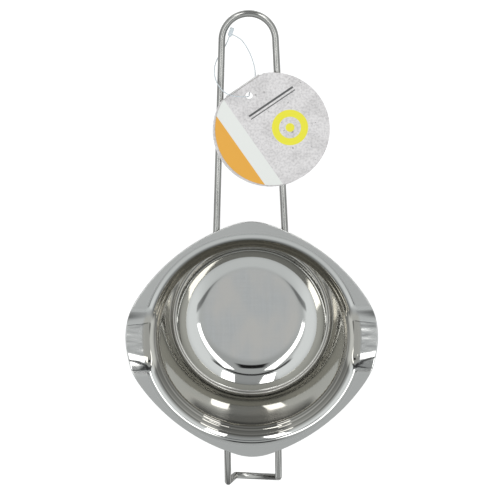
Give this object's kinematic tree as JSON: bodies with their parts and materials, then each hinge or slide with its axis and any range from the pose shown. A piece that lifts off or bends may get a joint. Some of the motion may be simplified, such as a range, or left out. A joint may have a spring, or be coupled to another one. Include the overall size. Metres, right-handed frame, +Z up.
{
  "type": "double boiler insert",
  "caption": "Stepped steel melting bowl with pouring lips, a long wire handle and a wire hook, made to hang in a pan of hot water, with a round hang tag.",
  "frame": {"origin": "centre of the underside of the bowl's flat base", "axes": "+X towards the right pouring lip seen from above with the handle pointing away, +Y along the handle, +Z up out of the bowl"},
  "size_m": [0.1518, 0.2921, 0.0638],
  "materials": {
    "sheet_steel": "polished walls, satin flange and base",
    "wire_steel": "polished drawn wire",
    "weld_steel": "dull weld bead",
    "tag_card": "printed card, satin",
    "tag_nylon": "clear nylon"
  },
  "bodies": {
    "bowl_body": {"bowl": "sheet_steel", "long_handle": "wire_steel", "pot_hook": "wire_steel", "handle_weld_right": "weld_steel", "handle_weld_left": "weld_steel", "hook_weld_right": "weld_steel", "hook_weld_left": "weld_steel"},
    "loop": {"tag_loop": "tag_nylon", "tag_loop_lock": "tag_nylon"},
    "tag": {"tag_back_leaf": "tag_card"},
    "cover": {"tag_front_leaf": "tag_card"}
  },
  "joints": [
    {"name": "tag_swing", "type": "hinge", "parent": "bowl_body", "child": "loop", "pos_m": [-0.02, 0.0732, 0.05588], "axis": [-0.0407, -0.9992, 0], "range_deg": [0, 180]},
    {"name": "tag_turn", "type": "hinge", "parent": "loop", "child": "tag", "pos_m": [-0.00008, 0.14878, 0.05818], "axis": [0, 0, 1], "range_deg": [-20, 40]},
    {"name": "tag_cover_open", "type": "hinge", "parent": "tag", "child": "cover", "pos_m": [-0.00382, 0.15433, 0.05883], "axis": [-0.829, -0.5592, 0], "range_deg": [0, 20]}
  ]
}
